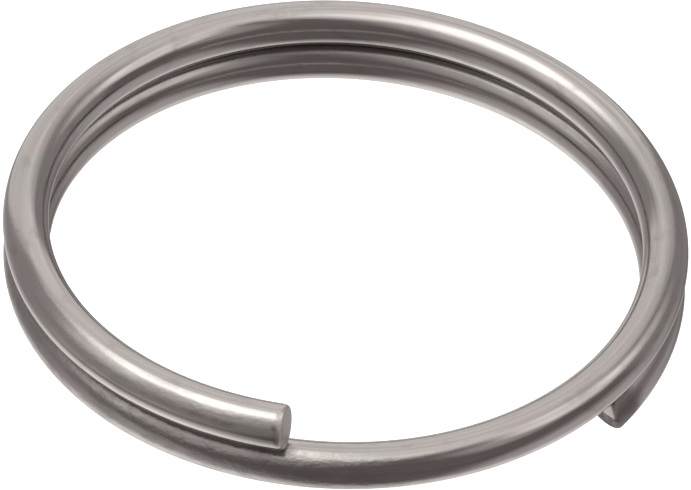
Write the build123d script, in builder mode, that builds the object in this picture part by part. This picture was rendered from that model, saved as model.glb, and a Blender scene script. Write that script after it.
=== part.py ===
"""Split key ring: one round spring wire, wound close and right-handed for 1.83 turns.

The wire is one piece. Its middle coil stays still and half a turn at each end is free to bend
away from it. Each free half turn is cut into two quarter turns that hinge on thin flexure cuts,
so that the ring can open. The upper end is sheared off nearly square. The lower end is nipped
from above and below, which leaves it with two slanting facets that meet in a ridge.

Frame: origin on the coil's axis, level with the lowest point of the wire. +Z is the coil's axis,
towards the upper end. -Y is the side where the two ends leave a single thickness of wire.
Angles along the wire are in degrees about the coil's axis, counted from the lower end's tip.
"""

from build123d import *
import math
import os

# Driving dimensions, in millimetres
RING_DIAMETER = 30.0  # outside of the coil
WIRE_DIAMETER = 2.0
COIL_CLEARANCE = 0.02  # air between neighbouring coils, which only just touch
FLEXURE_CUT = 0.04  # width of the cut between two lengths of wire
RIM_BEVEL = 0.18  # broken edge around the sheared face
NIP_RIDGE_HEIGHT = 0.23  # of the nipped end's ridge above the wire's centre

# Driving angles, in degrees
UPPER_TIP_POLAR = 261.3  # where the upper tip stands around the axis, from +X towards +Y
WIRE_ANGLE = 657.3  # from one tip to the other
TIP_ANGLE = 90.0  # length of wire beyond each outer flexure
FREE_ANGLE = 180.0  # length of wire beyond each inner flexure
SHEAR_LEAN = 4.0  # of the sheared face: its outer side is cut back
SHEAR_TILT = 4.0  # of the sheared face: its upper side is cut back
NIP_LEAN = 13.0  # of the nipped ridge: its inner end is cut back
NIP_RISE = 8.0  # of the nipped ridge: its outer end is higher
NIP_UPPER_BEVEL = 16.0  # of the facet above the ridge, away from square
NIP_LOWER_BEVEL = 21.5  # of the facet below the ridge

# Worked out from the driving dimensions
WIRE_RADIUS = WIRE_DIAMETER / 2
COIL_RADIUS = RING_DIAMETER / 2 - WIRE_RADIUS
PITCH = WIRE_DIAMETER + COIL_CLEARANCE
LOWER_TIP_POLAR = UPPER_TIP_POLAR - WIRE_ANGLE
HALF_CUT_ANGLE = math.degrees(FLEXURE_CUT / 2 / COIL_RADIUS)
CROP_OVERRUN = 4.0  # spare wire beyond a tip, in degrees, for the crop to remove
UP = Vector(0, 0, 1)


def tangent_of(degrees):
    return math.tan(math.radians(degrees))


def wire_height(wire_angle):
    """Height of the wire's centre line above its lowest point."""
    return WIRE_RADIUS + PITCH * wire_angle / 360


def wire_polar(wire_angle):
    """Angle around the axis at which a point of the wire stands, from +X towards +Y."""
    return LOWER_TIP_POLAR + wire_angle


def level_direction(polar):
    """Level unit vector that points at an angle around the axis."""
    return Vector(math.cos(math.radians(polar)), math.sin(math.radians(polar)), 0)


def wire_centre(wire_angle):
    """Point of the wire's centre line."""
    return level_direction(wire_polar(wire_angle)) * COIL_RADIUS + UP * wire_height(wire_angle)


def sheared_planes():
    """The upper end's face: one plane that leans outwards and tilts upwards."""
    outward = level_direction(wire_polar(WIRE_ANGLE))
    onward = level_direction(wire_polar(WIRE_ANGLE) + 90)
    normal = onward + outward * tangent_of(SHEAR_LEAN) + UP * tangent_of(SHEAR_TILT)
    return [Plane(origin=wire_centre(WIRE_ANGLE), z_dir=normal)]


def nipped_planes():
    """The lower end's two facets: planes through a ridge that runs across the wire."""
    outward = level_direction(wire_polar(0))
    onward = level_direction(wire_polar(0) - 90)
    ridge = outward + onward * tangent_of(NIP_LEAN) + UP * tangent_of(NIP_RISE)
    ridge_point = wire_centre(0) + UP * NIP_RIDGE_HEIGHT
    up_the_upper_facet = UP - onward * tangent_of(NIP_UPPER_BEVEL)
    down_the_lower_facet = UP * -1 - onward * tangent_of(NIP_LOWER_BEVEL)
    return [
        Plane(origin=ridge_point, z_dir=ridge.cross(up_the_upper_facet)),
        Plane(origin=ridge_point, z_dir=down_the_lower_facet.cross(ridge)),
    ]


def wire_length(name, start, end, crop_planes=(), rim_bevel=0):
    """Write the length of wire between two angles, cropped by planes that face out of its tip."""
    rise = PITCH * (end - start) / 360
    coil = Helix(PITCH, rise, COIL_RADIUS, center=(0, 0, wire_height(start)), mode=Mode.PRIVATE)
    with BuildPart() as length:
        with BuildLine() as centre_line:
            add(coil.rotate(Axis.Z, wire_polar(start)))
        path = centre_line.line
        with BuildSketch(Plane(origin=path @ 0, z_dir=path % 0)):
            Circle(WIRE_RADIUS)
        sweep(path=path, is_frenet=True)
        for crop in crop_planes:
            split(bisect_by=crop, keep=Keep.BOTTOM)
        if rim_bevel:
            cropped_face = length.faces().sort_by_distance(crop_planes[0].origin)[0]
            chamfer(cropped_face.edges(), rim_bevel)
    length.part.label = name
    export_step(length.part, f"parts/{name}.step")


os.makedirs("parts", exist_ok=True)

# Flexure cuts, in order along the wire from the lower tip to the upper tip
lower_outer = TIP_ANGLE
lower_inner = FREE_ANGLE
upper_inner = WIRE_ANGLE - FREE_ANGLE
upper_outer = WIRE_ANGLE - TIP_ANGLE

wire_length("lower_tip", -CROP_OVERRUN, lower_outer - HALF_CUT_ANGLE, nipped_planes())
wire_length("lower_quarter", lower_outer + HALF_CUT_ANGLE, lower_inner - HALF_CUT_ANGLE)
wire_length("middle_coil", lower_inner + HALF_CUT_ANGLE, upper_inner - HALF_CUT_ANGLE)
wire_length("upper_quarter", upper_inner + HALF_CUT_ANGLE, upper_outer - HALF_CUT_ANGLE)
wire_length("upper_tip", upper_outer + HALF_CUT_ANGLE, WIRE_ANGLE + CROP_OVERRUN, sheared_planes(), RIM_BEVEL)
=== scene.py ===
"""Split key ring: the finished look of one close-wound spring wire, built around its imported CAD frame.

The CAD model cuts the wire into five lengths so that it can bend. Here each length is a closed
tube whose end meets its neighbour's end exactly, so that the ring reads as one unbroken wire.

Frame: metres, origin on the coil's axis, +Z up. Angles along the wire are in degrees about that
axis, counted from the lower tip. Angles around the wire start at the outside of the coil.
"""
import math
from functools import reduce
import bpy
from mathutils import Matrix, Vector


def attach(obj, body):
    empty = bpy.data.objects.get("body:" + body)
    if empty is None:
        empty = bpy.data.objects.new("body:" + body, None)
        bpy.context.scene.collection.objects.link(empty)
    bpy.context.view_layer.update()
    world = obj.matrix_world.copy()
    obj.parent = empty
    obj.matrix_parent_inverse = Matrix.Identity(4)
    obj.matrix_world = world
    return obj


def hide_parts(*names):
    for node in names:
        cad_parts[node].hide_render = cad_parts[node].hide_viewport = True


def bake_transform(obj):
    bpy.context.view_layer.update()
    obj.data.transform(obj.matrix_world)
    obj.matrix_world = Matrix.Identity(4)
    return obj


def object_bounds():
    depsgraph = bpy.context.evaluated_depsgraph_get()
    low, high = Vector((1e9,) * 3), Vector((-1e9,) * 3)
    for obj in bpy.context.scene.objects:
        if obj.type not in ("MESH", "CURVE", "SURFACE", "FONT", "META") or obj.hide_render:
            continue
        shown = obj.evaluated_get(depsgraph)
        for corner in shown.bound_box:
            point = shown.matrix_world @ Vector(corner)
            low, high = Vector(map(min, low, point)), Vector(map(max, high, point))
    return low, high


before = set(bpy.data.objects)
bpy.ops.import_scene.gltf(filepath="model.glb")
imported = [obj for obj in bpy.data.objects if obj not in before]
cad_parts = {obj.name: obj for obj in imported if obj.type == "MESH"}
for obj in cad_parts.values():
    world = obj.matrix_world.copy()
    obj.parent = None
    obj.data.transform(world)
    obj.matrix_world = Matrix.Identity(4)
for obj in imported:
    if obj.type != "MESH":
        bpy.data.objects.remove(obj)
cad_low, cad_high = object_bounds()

from types import SimpleNamespace

import bpy
import numpy as np
from mathutils import Matrix, Vector

MM = 0.001

# The wire, with the same driving dimensions as the CAD model
WIRE_RADIUS = 1.0 * MM
COIL_CLEARANCE = 0.02 * MM
UPPER_TIP_POLAR = 261.3  # degrees from +X towards +Y
WIRE_ANGLE = 657.3  # from tip to tip
TIP_ANGLE = 90.0  # wire beyond each outer hinge
FREE_ANGLE = 180.0  # wire beyond each inner hinge

# The two tips, also as in the CAD model but for their rims, which are rounded here
SHEAR_LEAN = 4.0  # degrees by which the upper tip's outer side is cut back
SHEAR_TILT = 4.0  # and its upper side
SHEAR_RIM = (0.30 * MM, 0.13 * MM)  # rounding of the upper tip's rim, along the wire and inwards
NIP_RIDGE_HEIGHT = 0.23 * MM  # of the lower tip's ridge above the wire's centre
NIP_LEAN = 13.0  # degrees by which the ridge's inner end is cut back
NIP_RISE = 8.0  # degrees by which its outer end is higher
NIP_UPPER_BEVEL = 16.0  # degrees from square of the facet above the ridge
NIP_LOWER_BEVEL = 21.5  # and of the facet below it
NIP_RIM = (0.24 * MM, 0.17 * MM)
NIP_RIDGE_SOFTNESS = 0.05 * MM

# The last stretch before the upper tip stands very slightly proud of the coil below it
STRAY = 0.09 * MM
STRAY_START = 560.0  # degrees along the wire
STRAY_FULL = 615.0

# Unevenness of the drawn wire's radius, as shares of it, with millimetres of wire per radian of wave
OVALITY, OVALITY_WAVE = 0.0024, 2.9
WANDER, WANDER_WAVE = 0.0018, 1.7
LOBING, LOBING_WAVE = 0.0014, 5.3

# Worked out from those and from the frame
COIL_RADIUS = (cad_high.x - cad_low.x) / 2 - WIRE_RADIUS
PITCH = 2 * WIRE_RADIUS + COIL_CLEARANCE
LOWER_TIP_POLAR = UPPER_TIP_POLAR - WIRE_ANGLE
ONE_TURN = 2 * math.pi * COIL_RADIUS / MM  # of wire, in millimetres
WIRE_END = math.radians(WIRE_ANGLE) * COIL_RADIUS / MM

# Mesh density
AROUND = 96  # points around the wire
RING_STEP = 1.0  # degrees of coil between rings
CROP_ZONE = 9.0  # degrees over which square rings turn into the slanted crop
CROP_RINGS = 24
RIM_RINGS = 10
FACE_RINGS = 22
FACE_CORE = 0.05  # radius of the innermost ring of a cropped face, as a share of the wire's

TURN_ANGLES = np.arange(AROUND) * 2 * np.pi / AROUND  # of the points around the wire


# ---------------------------------------------------------------- the wire's shape


def smooth_step(value, low, high):
    share = np.clip((value - low) / (high - low), 0, 1)
    return share * share * (3 - 2 * share)


def wire_axes(angle):
    """Centre, outward, upward and forward vectors of the wire at an array of wire angles."""
    polar = np.radians(LOWER_TIP_POLAR + angle)
    zero = np.zeros_like(polar)
    outward = np.stack([np.cos(polar), np.sin(polar), zero], -1)
    centre = (COIL_RADIUS + STRAY * smooth_step(angle, STRAY_START, STRAY_FULL))[..., None] * outward
    centre[..., 2] = WIRE_RADIUS + PITCH * angle / 360
    forward = np.stack([-np.sin(polar), np.cos(polar), zero + PITCH / (2 * np.pi * COIL_RADIUS)], -1)
    forward /= np.linalg.norm(forward, axis=-1, keepdims=True)
    upward = np.cross(outward, forward)
    return centre, outward, upward, forward


def wire_waver(angle, around):
    """Radius of the drawn wire as a share of its nominal one. The waves' phases are arbitrary."""
    length = np.radians(angle) * COIL_RADIUS / MM
    waver = OVALITY * np.sin(length / OVALITY_WAVE + 1.3) * np.cos(2 * around + 0.4)
    waver = waver + WANDER * np.sin(length / WANDER_WAVE + 0.5 + around)
    waver = waver + LOBING * np.sin(length / LOBING_WAVE) * np.cos(3 * around + 1.1)
    return 1 + waver


def wire_point(angle, around, radius):
    """Points at a wire angle, an angle around the wire (radians) and a distance from its centre."""
    centre, outward, upward, _ = wire_axes(angle)
    reach = (radius * wire_waver(angle, around))[..., None]
    return centre + reach * (np.cos(around)[..., None] * outward + np.sin(around)[..., None] * upward)


def slope(degrees):
    return math.tan(math.radians(degrees))


def sheared_depth(outward, upward):
    """How far the upper tip's face is cut back along the wire, at offsets from the wire's centre."""
    return outward * slope(SHEAR_LEAN) + upward * slope(SHEAR_TILT)


def nipped_depth(outward, upward):
    """How far the lower tip's two facets are cut back, with the ridge between them slightly blunt."""
    above = upward - NIP_RIDGE_HEIGHT - outward * slope(NIP_RISE)
    bevel = (slope(NIP_UPPER_BEVEL) + slope(NIP_LOWER_BEVEL)) / 2
    skew = (slope(NIP_UPPER_BEVEL) - slope(NIP_LOWER_BEVEL)) / 2
    blunt = np.sqrt(above ** 2 + NIP_RIDGE_SOFTNESS ** 2)
    return bevel * blunt + skew * above - outward * slope(NIP_LEAN)


def cut_row(tip_angle, way, face_depth, radius, back, share):
    """Row of (wire angle, radius, share of cut face) that follows a tip's face at some distance back."""
    depth = face_depth(radius * np.cos(TURN_ANGLES), radius * np.sin(TURN_ANGLES)) + back
    return tip_angle - way * np.degrees(depth / COIL_RADIUS), radius, np.full(AROUND, share)


def tip_rows(start, tip_angle, face_depth, rim, way):
    """Rows from a square ring to the core of a tip's face: slanting wire, rounded rim, then face."""
    full = np.full(AROUND, WIRE_RADIUS)
    rim_length, rim_inset = rim
    edge = cut_row(tip_angle, way, face_depth, full, rim_length, 0.0)[0]
    rows = []
    for k in range(1, CROP_RINGS + 1):
        rows.append((start + (edge - start) * k / CROP_RINGS, full, np.zeros(AROUND)))
    for k in range(1, RIM_RINGS + 1):
        turn = math.pi / 2 * k / RIM_RINGS
        inset, back = rim_inset * (1 - math.cos(turn)), rim_length * (1 - math.sin(turn))
        rows.append(cut_row(tip_angle, way, face_depth, full - inset, back, (k / RIM_RINGS) ** 2))
    outer = WIRE_RADIUS - rim_inset
    for k in range(1, FACE_RINGS + 1):
        radius = outer + (WIRE_RADIUS * FACE_CORE - outer) * k / FACE_RINGS
        rows.append(cut_row(tip_angle, way, face_depth, np.full(AROUND, radius), 0.0, 1.0))
    return rows


def square_rows(start, end):
    """Rows of square rings from one wire angle to another, both included."""
    count = max(2, round(abs(end - start) / RING_STEP) + 1)
    ring = np.ones(AROUND)
    return [(ring * angle, ring * WIRE_RADIUS, 0 * ring) for angle in np.linspace(start, end, count)]


# ---------------------------------------------------------------- meshes


def ring_grids(rows, open_start, open_end):
    """Place, normal, wire coordinates (mm) and share of cut face of every point, ring by ring."""
    angle = np.array([row[0] for row in rows])
    radius = np.array([row[1] for row in rows])
    cut = np.array([row[2] for row in rows])
    place = wire_point(angle, TURN_ANGLES[None], radius)
    along = np.gradient(place, axis=0)
    across = np.roll(place, -1, axis=1) - np.roll(place, 1, axis=1)
    normal = np.cross(along, across)
    normal /= np.linalg.norm(normal, axis=-1, keepdims=True)
    length = np.radians(angle) * COIL_RADIUS
    coords = np.stack([length, radius * np.cos(TURN_ANGLES), radius * np.sin(TURN_ANGLES)], -1) / MM
    keep = slice(1 if open_start else 0, -1 if open_end else None)
    return [grid[keep] for grid in (place, normal, coords, cut)]


def end_faces(ring, core, at_start):
    """Flat cap over a ring, or triangles from the ring to a core point where there is one."""
    if core is None:
        return [ring.tolist() if at_start else ring[::-1].tolist()]
    pairs = zip(ring.tolist(), np.roll(ring, -1).tolist())
    return [[core, a, b] if at_start else [a, core, b] for a, b in pairs]


def set_corners(mesh, coords, normal):
    """Map along the wire, and the exact normal of every corner that is not on a flat cap."""
    layer = mesh.uv_layers.new(name="along_wire")
    corner_normals = [(0.0, 0.0, 0.0)] * len(mesh.loops)
    for face in mesh.polygons:
        is_cap = len(face.vertices) > 4
        face.use_smooth = not is_cap
        for corner in face.loop_indices:
            vertex = mesh.loops[corner].vertex_index
            on_ring = vertex < len(normal)
            column = vertex % AROUND if on_ring else 0
            wraps = column == 0 and any(v % AROUND == AROUND - 1 for v in face.vertices)
            layer.data[corner].uv = (coords[vertex][0] / (2 * math.pi), 1.0 if wraps else column / AROUND)
            if on_ring and not is_cap:
                corner_normals[corner] = tuple(normal[vertex])
    mesh.normals_split_custom_set(corner_normals)


def tube_mesh(name, rows, open_start, open_end):
    """Closed mesh through rows of rings. An open end has one spare row beyond it, for its normals."""
    place, normal, ring_coords, ring_cut = ring_grids(rows, open_start, open_end)
    index = np.arange(place.shape[0] * AROUND).reshape(-1, AROUND)
    after = np.roll(index, -1, axis=1)
    faces = np.stack([index[:-1], index[1:], after[1:], after[:-1]], -1).reshape(-1, 4).tolist()
    points, coords, cut = place.reshape(-1, 3), ring_coords.reshape(-1, 3), ring_cut.reshape(-1)
    for row, is_open in ((0, open_start), (-1, open_end)):
        faces += end_faces(index[row], None if is_open else len(points), row == 0)
        if not is_open:
            points = np.vstack([points, place[row].mean(axis=0)])
            coords = np.vstack([coords, (ring_coords[row, :, 0].mean(), 0, 0)])
            cut = np.append(cut, 1.0)

    mesh = bpy.data.meshes.new(name)
    mesh.from_pydata(points.tolist(), [], faces)
    wire_coords = mesh.attributes.new("wire_coords", "FLOAT_VECTOR", "POINT")
    wire_coords.data.foreach_set("vector", coords.astype(np.float32).ravel())
    cut_face = mesh.attributes.new("cut_face", "FLOAT", "POINT")
    cut_face.data.foreach_set("value", cut.astype(np.float32))
    set_corners(mesh, coords, normal.reshape(-1, 3))
    mesh.validate()
    return mesh


def wire_piece(name, rows, open_start, open_end, material):
    """One length of wire as an object with its material."""
    mesh = tube_mesh(name, rows, open_start, open_end)
    mesh.materials.append(material)
    piece = bpy.data.objects.new(name, mesh)
    bpy.context.scene.collection.objects.link(piece)
    return piece


def spare_row(row, step):
    """Copy of a square row a little further along the wire."""
    return row[0] + step, row[1], row[2]


def free_length(name, start, end, material):
    """A length between two hinges: square rings all the way, with a spare one at each end."""
    rows = square_rows(start, end)
    rows = [spare_row(rows[0], -RING_STEP)] + rows + [spare_row(rows[-1], RING_STEP)]
    return wire_piece(name, rows, True, True, material)


def lower_tip_length(name, end, material):
    """The length that carries the lower cropped face."""
    rows = square_rows(end, CROP_ZONE) + tip_rows(CROP_ZONE, 0.0, nipped_depth, NIP_RIM, -1)
    return wire_piece(name, rows[::-1] + [spare_row(rows[0], RING_STEP)], False, True, material)


def upper_tip_length(name, start, material):
    """The length that carries the upper cropped face."""
    zone_start = WIRE_ANGLE - CROP_ZONE
    rows = square_rows(start, zone_start) + tip_rows(zone_start, WIRE_ANGLE, sheared_depth, SHEAR_RIM, 1)
    return wire_piece(name, [spare_row(rows[0], -RING_STEP)] + rows, True, False, material)


# ---------------------------------------------------------------- materials


class Nodes:
    """Small helper that adds nodes to a tree and links them."""

    def __init__(self, tree):
        self.tree = tree
        tree.nodes.clear()

    def add(self, kind, inputs=None, **settings):
        node = self.tree.nodes.new(kind)
        for key, value in settings.items():
            setattr(node, key, value)
        for key, value in (inputs or {}).items():
            self.put(value, node.inputs[key])
        return node

    def put(self, value, socket):
        if isinstance(value, bpy.types.NodeSocket):
            self.tree.links.new(value, socket)
        else:
            socket.default_value = value

    def math(self, operation, *values):
        node = self.add("ShaderNodeMath", operation=operation)
        for socket, value in zip(node.inputs, values):
            self.put(value, socket)
        return node.outputs[0]

    def times(self, *values):
        return reduce(lambda first, second: self.math("MULTIPLY", first, second), values)

    def plus(self, *values):
        return reduce(lambda first, second: self.math("ADD", first, second), values)

    def most(self, *values):
        return reduce(lambda first, second: self.math("MAXIMUM", first, second), values)

    def centred(self, noise):
        return self.math("SUBTRACT", noise, 0.5)

    def without(self, share):
        return self.math("SUBTRACT", 1.0, share)

    def noise(self, vector, scale, detail=3.0, roughness=0.5):
        """Noise of about 0.3 to 0.7 around 0.5; scale is in features per unit of the vector."""
        stretch = self.add("ShaderNodeMapping", vector_type="POINT")
        self.put(vector, stretch.inputs["Vector"])
        stretch.inputs["Scale"].default_value = scale
        return self.add("ShaderNodeTexNoise", {
            "Vector": stretch.outputs[0], "Scale": 1.0, "Detail": detail, "Roughness": roughness,
        }, noise_dimensions="3D").outputs["Fac"]

    def ramp(self, value, low, high, out_low=0.0, out_high=1.0):
        """Smooth step from one output to another between two limits."""
        return self.add("ShaderNodeMapRange", {
            "Value": value, "From Min": low, "From Max": high, "To Min": out_low, "To Max": out_high,
        }, interpolation_type="SMOOTHSTEP").outputs["Result"]

    def zone(self, value, low, high, fade):
        """Share that is one between two limits and fades to nothing on either side."""
        return self.times(self.ramp(value, low - fade, low), self.ramp(value, high, high + fade, 1.0, 0.0))

    def mix_colour(self, share, first, second):
        node = self.add("ShaderNodeMix", data_type="RGBA")
        for slot, value in ((0, share), (6, first), (7, second)):
            self.put(value, node.inputs[slot])
        return node.outputs[2]


# Where the wire is worn and where shade, highlights and a dark reflection are painted on it, in
# millimetres. A zone is (from, to, fade) and an edge is (start, full).
# Along the wire they count from the lower tip; across it they are offsets from its centre.
TUMBLED_STRETCH = (53.0, 75.0, 6.0)
SPECKLED_STRETCH = (140.0, 154.0, 6.0)
OUTER_SIDE = (-0.2, 0.5)  # outwards, as are the other sides
SCUFF_START = (146.0, 156.0)
SCUFF_BAND = (0.30, 0.78, 0.12)  # upwards, as are the other bands and lines
SCUFFED_SIDE = (0.2, 0.6)
# Painted dark reflection: a thin dark line along the side of the wire before the upper tip
DARK_REFLECTION_START = (144.0, 155.0)
DARK_REFLECTION_BAND = (0.07, 0.15, 0.08)
REFLECTION_AND_NICK_SIDE = (0.3, 0.6)
NICK_PLACE, NICK_HEIGHT = 160.28, 0.56
NICK_HALF_LENGTH, NICK_HALF_WIDTH, NICK_SLANT = 0.20, 0.14, 0.7
# The last stretch before the lower tip is rougher and dented, and darkened with painted shade
ROUGH_SHADED_LOWER_END = (1.0, 2.1)  # dull as far as this from the lower tip
LOWER_CROP_END = (3.0, 4.0)  # beyond the whole of the lower cropped face
RIDGE_EDGE = (-0.05, 0.03)  # above the ridge of that face
UPPER_RIM_START = (100.0, 101.0)  # anywhere well away from both rims
# Where the coils touch: rubbed metal, and painted shade darkening the crevice between them
CONTACT_FADE = 1.0  # beyond the stretch where two coils touch
CONTACT_SIDE = (-0.1, 0.4)
CONTACT_BOTH_SIDES = (26.0, 33.0, 5.0)  # at the back of the ring, where it is rubbed and painted with shade inside too
NARROW_CONTACT_STRETCH = (50.0, 65.0, 5.0)  # at the front left
CONTACT_TOP = (0.45, 0.85)
CONTACT_NARROWING = 0.2
CONTACT_BENEATH = (-1.0, -0.85)


def fretting_and_crevice_shade_share(n, length, outward, upward):
    """Where neighbouring coils rub and painted shade darkens the crevice between them: on top of the lower
    turn and faintly beneath the upper one.
    """
    contact_end = WIRE_END - ONE_TURN
    touched = n.ramp(length, contact_end - CONTACT_FADE, contact_end, 1.0, 0.0)
    sideways = n.most(n.ramp(outward, *CONTACT_SIDE, 0.5, 1.0), n.zone(length, *CONTACT_BOTH_SIDES))
    strip_edge = n.math("MULTIPLY_ADD", n.zone(length, *NARROW_CONTACT_STRETCH), CONTACT_NARROWING, CONTACT_TOP[0])
    on_top = n.times(n.ramp(upward, strip_edge, CONTACT_TOP[1]), n.times(touched, sideways))
    touching = n.ramp(length, ONE_TURN, ONE_TURN + CONTACT_FADE, 0.0, 0.3)
    beneath = n.times(n.ramp(upward, *CONTACT_BENEATH, 1.0, 0.0), touching)
    return n.most(on_top, beneath)


def blade_nick(n, length, upward, mottle):
    """Small slanted dent that the shear left in the side of the wire, just before the upper tip's rim."""
    along = n.math("MULTIPLY_ADD", length, 1 / NICK_HALF_LENGTH, -NICK_PLACE / NICK_HALF_LENGTH)
    aside = n.math("MULTIPLY_ADD", upward, 1 / NICK_HALF_WIDTH, -NICK_HEIGHT / NICK_HALF_WIDTH)
    aside = n.plus(aside, n.times(along, NICK_SLANT))
    reach = n.math("SQRT", n.plus(n.times(along, along), n.times(aside, aside)))
    return n.ramp(n.plus(reach, n.centred(mottle)), 0.3, 1.3, 1.0, 0.0)


def wire_patterns(n, place):
    """Noises that run through the steel, in features per millimetre along and across the wire."""
    return SimpleNamespace(
        draw_lines=n.noise(place, (0.10, 7.0, 7.0), detail=4.0, roughness=0.6),
        fine_lines=n.noise(place, (0.45, 22.0, 22.0), detail=2.0),
        mottle=n.noise(place, (0.55, 1.1, 1.1), detail=4.0, roughness=0.62),
        grain=n.noise(place, (9.0, 11.0, 11.0), detail=3.0),
        dimples=n.noise(place, (3.0, 5.2, 5.2), detail=2.0, roughness=0.5),
        tone=n.noise(place, (0.35, 0.7, 0.7), detail=2.0),
        tearing=n.noise(place, (3.0, 8.0, 1.6), detail=4.0),
    )


def wire_wear(n, place, cut, pattern):
    """Shares of every kind of wear, of the painted shade, highlights and dark reflection, and of the two
    tips' faces.
    """
    length, outward, upward = n.add("ShaderNodeSeparateXYZ", {"Vector": place}).outputs
    # Tumbling dulled the outside of the lower turn below the upper tip, and speckled and scuffed
    # the last stretch before that tip
    tumbled = n.times(n.zone(length, *TUMBLED_STRETCH), n.ramp(outward, *OUTER_SIDE))
    tumbled = n.times(tumbled, n.ramp(pattern.mottle, 0.40, 0.56, 0.45, 1.0))
    speckled = n.times(n.zone(length, *SPECKLED_STRETCH), n.ramp(outward, *OUTER_SIDE, 0.0, 0.25))
    scuff_patches = n.times(n.ramp(outward, *SCUFFED_SIDE), n.ramp(pattern.mottle, 0.38, 0.55, 0.5, 1.0))
    scuffed = n.times(n.ramp(length, *SCUFF_START), n.zone(upward, *SCUFF_BAND), scuff_patches)
    # A painted dark reflection, a thin line along the side, and the shear's nick mark its side
    painted_dark_reflection_line = n.times(n.ramp(length, *DARK_REFLECTION_START), n.zone(upward, *DARK_REFLECTION_BAND))
    dark_reflection_and_nick = n.most(painted_dark_reflection_line, blade_nick(n, length, upward, pattern.mottle))
    # The lower tip's face is burnished with a painted highlight above its ridge, and torn and painted with
    # shade below it
    ridge = n.math("MULTIPLY_ADD", outward, slope(NIP_RISE), NIP_RIDGE_HEIGHT / MM)
    below_ridge = n.ramp(n.math("SUBTRACT", upward, ridge), *RIDGE_EDGE, 1.0, 0.0)
    lower_crop = n.ramp(length, *LOWER_CROP_END, 1.0, 0.0)
    half_cut = n.times(n.times(cut, n.without(cut)), 4.0)
    return SimpleNamespace(
        tumbled=tumbled,
        speckled=speckled,
        scuffed=scuffed,
        dark_reflection_and_nick=n.times(dark_reflection_and_nick, n.ramp(outward, *REFLECTION_AND_NICK_SIDE)),
        fretting_and_crevice_shade=fretting_and_crevice_shade_share(n, length, outward, upward),
        rough_shaded_lower_end=n.ramp(length, *ROUGH_SHADED_LOWER_END, 1.0, 0.0),
        torn_painted_shade=n.times(below_ridge, lower_crop),
        burnished_painted_highlight=n.times(n.without(below_ridge), lower_crop),
        # rounded rim of the upper tip: rougher, and lightened as a painted highlight
        rim=n.times(half_cut, n.ramp(length, *UPPER_RIM_START)),
    )


PINK_STEEL, GREEN_STEEL = (0.570, 0.524, 0.510, 1), (0.552, 0.526, 0.502, 1)
DULL_STEEL = (0.48, 0.442, 0.43, 1)
STREAK_GREY = (0.33, 0.30, 0.29, 1)
TUMBLED_GREY = (0.30, 0.275, 0.268, 1)
# Painted shade of the crevice where the coils touch, over rubbed metal
RUBBED_AND_SHADED_BROWN = (0.22, 0.198, 0.192, 1)
# Painted dark reflection line, and the shear's nick
DARK_REFLECTION_AND_NICK_BROWN = (0.16, 0.14, 0.135, 1)
# Painted shade over the last stretch before the lower tip
LOWER_END_SHADE_BROWN = (0.25, 0.215, 0.208, 1)
# Lower facet of the lower tip: torn metal, darkened with painted shade
SHADED_TORN_DARK, SHADED_TORN_LIGHT = (0.17, 0.148, 0.145, 1), (0.42, 0.40, 0.39, 1)
SHEARED_FACE = (0.74, 0.725, 0.70, 1)
# Upper facet of the lower tip: burnished metal, lightened as a painted highlight
BURNISHED_HIGHLIGHT_FACE = (0.95, 0.90, 0.88, 1)
# Painted highlight on the rounded rim of the upper tip
RIM_PAINTED_HIGHLIGHT = (0.80, 0.745, 0.73, 1)


def steel_colour(n, cut, pattern, wear):
    """Warm grey with faint pink and green drifts, darker where it is streaked or rubbed, with painted
    shade where the coils touch and before the lower tip, a painted dark reflection line and a nick before
    the upper tip, and painted highlights on the lower tip's upper facet and the upper tip's rim.
    """
    colour = n.mix_colour(n.ramp(pattern.tone, 0.4, 0.6), PINK_STEEL, GREEN_STEEL)
    colour = n.mix_colour(n.ramp(pattern.mottle, 0.52, 0.72), colour, DULL_STEEL)
    for share, strength, worn_colour in (
        (n.ramp(pattern.draw_lines, 0.52, 0.66), 0.25, STREAK_GREY),
        (wear.tumbled, 0.45, TUMBLED_GREY),
        # painted shade of the crevice where the coils touch, over rubbed metal
        (wear.fretting_and_crevice_shade, 0.55, RUBBED_AND_SHADED_BROWN),
        # painted dark reflection line, and the shear's nick
        (wear.dark_reflection_and_nick, 0.60, DARK_REFLECTION_AND_NICK_BROWN),
        # painted shade over the last stretch before the lower tip
        (wear.rough_shaded_lower_end, 0.85, LOWER_END_SHADE_BROWN),
    ):
        colour = n.mix_colour(n.times(share, strength), colour, worn_colour)
    # Lower tip's facets: torn and painted with shade below the ridge, burnished with a painted highlight
    # above it
    torn_painted_shade = n.mix_colour(n.ramp(pattern.dimples, 0.46, 0.60), SHADED_TORN_DARK, SHADED_TORN_LIGHT)
    face = n.mix_colour(wear.burnished_painted_highlight, n.mix_colour(wear.torn_painted_shade, SHEARED_FACE, torn_painted_shade), BURNISHED_HIGHLIGHT_FACE)
    # The upper tip's rounded rim gets a painted highlight
    return n.mix_colour(wear.rim, n.mix_colour(n.times(cut, 0.85), colour, face), RIM_PAINTED_HIGHLIGHT)


def steel_roughness(n, cut, pattern, wear):
    """Satin, coarser where it is mottled, rubbed or cropped."""
    satin = n.ramp(pattern.mottle, 0.40, 0.72, 0.14, 0.22)
    satin = n.plus(satin, n.ramp(pattern.fine_lines, 0.35, 0.65, -0.02, 0.03))
    worn = n.most(n.times(wear.tumbled, 0.10), n.times(wear.fretting_and_crevice_shade, 0.14),
                  n.times(wear.scuffed, 0.40), n.times(wear.rough_shaded_lower_end, 0.34))
    worn = n.plus(worn, n.times(wear.rim, 0.12))
    return n.plus(n.plus(satin, worn), n.times(cut, 0.18))


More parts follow.
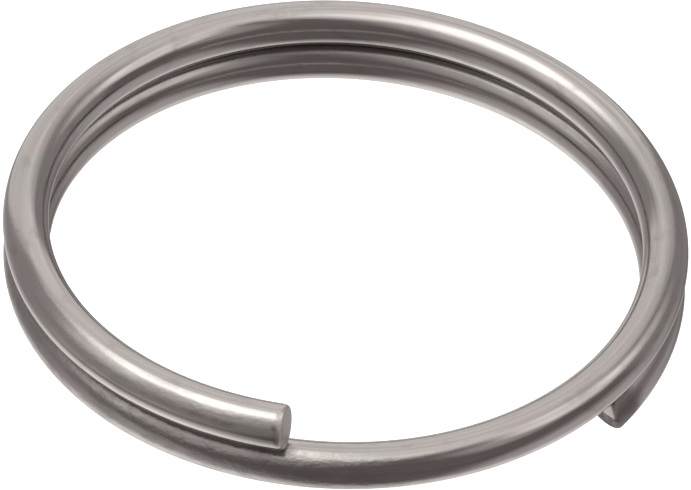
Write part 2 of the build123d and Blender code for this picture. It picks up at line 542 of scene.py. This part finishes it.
def steel_relief(n, cut, pattern, wear):
    """Height in micrometres: draw lines, grain, dimples where it was knocked, tears on the faces."""
    lines = n.times(n.centred(pattern.draw_lines), 2.6)
    hairs = n.times(n.centred(pattern.fine_lines), 1.6)
    bumps = n.times(n.centred(pattern.grain), n.ramp(pattern.mottle, 0.45, 0.70, 0.5, 2.5))
    knocked = n.most(n.most(wear.tumbled, wear.speckled), n.most(wear.scuffed, wear.rough_shaded_lower_end))
    dents = n.times(n.centred(pattern.dimples), n.ramp(knocked, 0.0, 0.8, 0.6, 18.0))
    tears = n.times(n.times(n.centred(pattern.tearing), 40.0), cut)
    return n.plus(n.plus(lines, hairs), n.plus(bumps, dents), tears)


def wire_steel():
    """Satin spring steel: drawn lengthwise, tumbled, fretted and painted with shade where its coils touch,
    with cropped tips.
    """
    material = bpy.data.materials.new("spring_wire_steel")
    material.use_nodes = True
    n = Nodes(material.node_tree)
    place = n.add("ShaderNodeAttribute", attribute_name="wire_coords").outputs["Vector"]
    cut = n.add("ShaderNodeAttribute", attribute_name="cut_face").outputs["Fac"]
    pattern = wire_patterns(n, place)
    wear = wire_wear(n, place, cut, pattern)
    relief = steel_relief(n, cut, pattern, wear)
    bump = n.add("ShaderNodeBump", {"Height": relief, "Distance": 1e-6, "Strength": 1.0})
    tangent = n.add("ShaderNodeTangent", direction_type="UV_MAP", uv_map="along_wire").outputs[0]
    metal = n.add("ShaderNodeBsdfPrincipled", {
        "Base Color": steel_colour(n, cut, pattern, wear),
        # Less metallic on the burnished facet, so that its painted highlight shows
        "Metallic": n.without(n.times(n.times(wear.burnished_painted_highlight, cut), 0.6)),
        "Roughness": steel_roughness(n, cut, pattern, wear),
        "Anisotropic": 0.25,
        "Tangent": tangent,
        "Normal": bump.outputs["Normal"],
    })
    n.add("ShaderNodeOutputMaterial", {"Surface": metal.outputs[0]})
    return material


PAPER_FIBRES = 900.0  # per metre
PAPER_WHITE, PAPER_LIGHT = (0.90, 0.90, 0.895, 1), (0.93, 0.93, 0.925, 1)
PAPER_GLOW = 0.75


def pale_floor():
    """Over-lit white sweep: shadows on it stay too bright to show."""
    material = bpy.data.materials.new("pale_floor")
    material.use_nodes = True
    n = Nodes(material.node_tree)
    place = n.add("ShaderNodeNewGeometry").outputs["Position"]
    fibre = n.noise(place, (PAPER_FIBRES,) * 3, detail=3.0)
    paper = n.mix_colour(n.ramp(fibre, 0.3, 0.7), PAPER_WHITE, PAPER_LIGHT)
    matt = n.add("ShaderNodeBsdfDiffuse", {"Color": paper, "Roughness": 0.4})
    glow = n.add("ShaderNodeEmission", {"Color": (1, 1, 1, 1), "Strength": PAPER_GLOW})
    both = n.add("ShaderNodeAddShader", {0: matt.outputs[0], 1: glow.outputs[0]})
    n.add("ShaderNodeOutputMaterial", {"Surface": both.outputs[0]})
    return material


# ---------------------------------------------------------------- studio

# Each light: name, azimuth from +X towards +Y, elevation, half width of the full part, half width of
# the whole (degrees), strength
STUDIO_LIGHTS = [
    ("key_softbox", 155, 67.5, 8, 22, 0.86),
    ("key_softbox_left", -160, 66.5, 8, 22, 0.51),
    ("ceiling", 105, 79, 22, 43, 0.66),
    ("ceiling_right", 10, 78, 4, 18, 0.12),
    ("overhead_front", -78, 71, 6, 18, 0.34),
    ("right_softbox", -2, 44.5, 10, 24, 0.82),
    ("right_softbox_front", -34, 38, 0, 22, 0.29),
    ("right_edge", 25, 34, 2, 17, 0.38),
    ("front_left_softbox", -150, 54, 0, 46, 0.51),
    ("left_edge", -175, 37, 4, 18, 0.20),
    ("back_panel", 101, 9, 33, 37, 0.46),
    ("back_panel_edge", 69, 34, 2, 15, 0.26),
    ("back_right_fill", 51, 15, 40, 47, 0.14),
    ("back_left_fill", 143, 25, 40, 64, 0.17),
    ("table_right", 1, -40.5, 0, 44, 0.38),
    ("table_left", -158, -39, 0, 46, 0.36),
    ("table_back_left", 135, -38, 0, 28, 0.12),
    ("table_back_near", 160, -68, 0, 22, 0.20),
    ("table_back", 118, -73, 0, 53, 0.74),
]
LIGHT_COLOUR = (1.0, 1.0, 0.98, 1)
AMBIENT_COLOUR = (1.14, 1.0, 1.03, 1)
STUDIO_AMBIENT = 0.15


def direction(azimuth, elevation):
    a, e = math.radians(azimuth), math.radians(elevation)
    return math.cos(e) * math.cos(a), math.cos(e) * math.sin(a), math.sin(e)


def light_strength(n, ray, light):
    """Brightness that one soft round light adds along a ray."""
    name, azimuth, elevation, full, whole, strength = light
    facing = n.add("ShaderNodeVectorMath", {0: ray, 1: direction(azimuth, elevation)},
                   operation="DOT_PRODUCT", name=name)
    edge, core = math.cos(math.radians(whole)), math.cos(math.radians(full))
    return n.times(n.ramp(facing.outputs["Value"], edge, core), strength)


def studio_world():
    """Soft tent around the ring: a few broad lights seen in the metal, plain white for the camera."""
    world = bpy.data.worlds.new("studio")
    bpy.context.scene.world = world
    world.use_nodes = True
    n = Nodes(world.node_tree)
    ray = n.add("ShaderNodeTexCoord").outputs["Generated"]
    total = n.plus(0.0, *(light_strength(n, ray, light) for light in STUDIO_LIGHTS))
    lights = n.add("ShaderNodeBackground", {"Color": LIGHT_COLOUR, "Strength": total})
    ambient = n.add("ShaderNodeBackground", {"Color": AMBIENT_COLOUR, "Strength": STUDIO_AMBIENT})
    tent = n.add("ShaderNodeAddShader", {0: lights.outputs[0], 1: ambient.outputs[0]})
    plain = n.add("ShaderNodeBackground", {"Color": (1, 1, 1, 1), "Strength": 1.0})
    to_camera = n.add("ShaderNodeLightPath").outputs["Is Camera Ray"]
    both = n.add("ShaderNodeMixShader", {0: to_camera, 1: tent.outputs[0], 2: plain.outputs[0]})
    n.add("ShaderNodeOutputWorld", {"Surface": both.outputs[0]})


FLOOR_DROP = 3.5 * MM  # below the ring, so that the opened lower tip stays clear of it
FLOOR_RADIUS = 1.2
FLOOR_CORNERS = 128


def studio_floor():
    """Round floor, not seen in the metal: the world's table lights stand for it there."""
    mesh = bpy.data.meshes.new("floor")
    turns = [2 * math.pi * k / FLOOR_CORNERS for k in range(FLOOR_CORNERS)]
    rim = [(FLOOR_RADIUS * math.cos(turn), FLOOR_RADIUS * math.sin(turn), 0.0) for turn in turns]
    mesh.from_pydata(rim, [], [list(range(FLOOR_CORNERS))])
    mesh.materials.append(pale_floor())
    floor = bpy.data.objects.new("floor", mesh)
    floor.location.z = cad_low.z - FLOOR_DROP
    floor.visible_glossy = False
    bpy.context.scene.collection.objects.link(floor)


CAMERA_ELEVATION = 41.695
CAMERA_ROLL = 2.774
CAMERA_DISTANCE = 280 * MM
CAMERA_AIM = Vector((0, 0, 4.702 * MM))
CAMERA_SHIFT = (-0.0914 * MM, -1.4797 * MM)  # of the aim, to the picture's right and up
CAMERA_LENS = 334.3  # on a sensor 36 mm wide
SENSOR_WIDTH = 36.0


def studio_camera():
    """Long lens looking down on the ring from -Y, aimed just below the top of the coil."""
    elevation, roll = math.radians(CAMERA_ELEVATION), math.radians(CAMERA_ROLL)
    back = Vector((0, -math.cos(elevation), math.sin(elevation)))
    level_right = Vector((1, 0, 0))
    right = math.cos(roll) * level_right + math.sin(roll) * back.cross(level_right)
    up = back.cross(right)
    place = CAMERA_AIM + CAMERA_SHIFT[0] * right + CAMERA_SHIFT[1] * up + CAMERA_DISTANCE * back
    data = bpy.data.cameras.new("camera")
    data.lens, data.sensor_width, data.sensor_fit = CAMERA_LENS, SENSOR_WIDTH, "HORIZONTAL"
    data.clip_start = 0.01
    camera = bpy.data.objects.new("camera", data)
    camera.matrix_world = Matrix((
        (right.x, up.x, back.x, place.x),
        (right.y, up.y, back.y, place.y),
        (right.z, up.z, back.z, place.z),
        (0, 0, 0, 1),
    ))
    bpy.context.scene.collection.objects.link(camera)
    bpy.context.scene.camera = camera


# ---------------------------------------------------------------- the ring

LOWER_OUTER, LOWER_INNER = TIP_ANGLE, FREE_ANGLE
UPPER_INNER, UPPER_OUTER = WIRE_ANGLE - FREE_ANGLE, WIRE_ANGLE - TIP_ANGLE
BEND = 45.0  # degrees of coil from a hinge, on its free side


def on_wire(angle):
    return Vector(wire_axes(np.array(float(angle)))[0])


def bend_beyond(piece, free, hinge, way):
    """Hide the CAD node that hangs on a hinge and bake the piece's placement into its mesh; way is -1
    where the wire beyond the hinge runs towards the lower tip."""
    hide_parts(free)
    on_wire(hinge)
    on_wire(hinge + way * BEND)
    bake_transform(piece)


steel = wire_steel()

middle = free_length("wire_middle", LOWER_INNER, UPPER_INNER, steel)
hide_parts("middle_coil")
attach(middle, "middle_coil")

lower_half = free_length("wire_lower_quarter", LOWER_OUTER, LOWER_INNER, steel)
bend_beyond(lower_half, "lower_quarter", LOWER_INNER, -1)

lower_end = lower_tip_length("wire_lower_tip", LOWER_OUTER, steel)
bend_beyond(lower_end, "lower_tip", LOWER_OUTER, -1)

upper_half = free_length("wire_upper_quarter", UPPER_INNER, UPPER_OUTER, steel)
bend_beyond(upper_half, "upper_quarter", UPPER_INNER, 1)

upper_end = upper_tip_length("wire_upper_tip", UPPER_OUTER, steel)
bend_beyond(upper_end, "upper_tip", UPPER_OUTER, 1)

studio_world()
studio_floor()
studio_camera()
bpy.context.scene.view_settings.view_transform = "Standard"
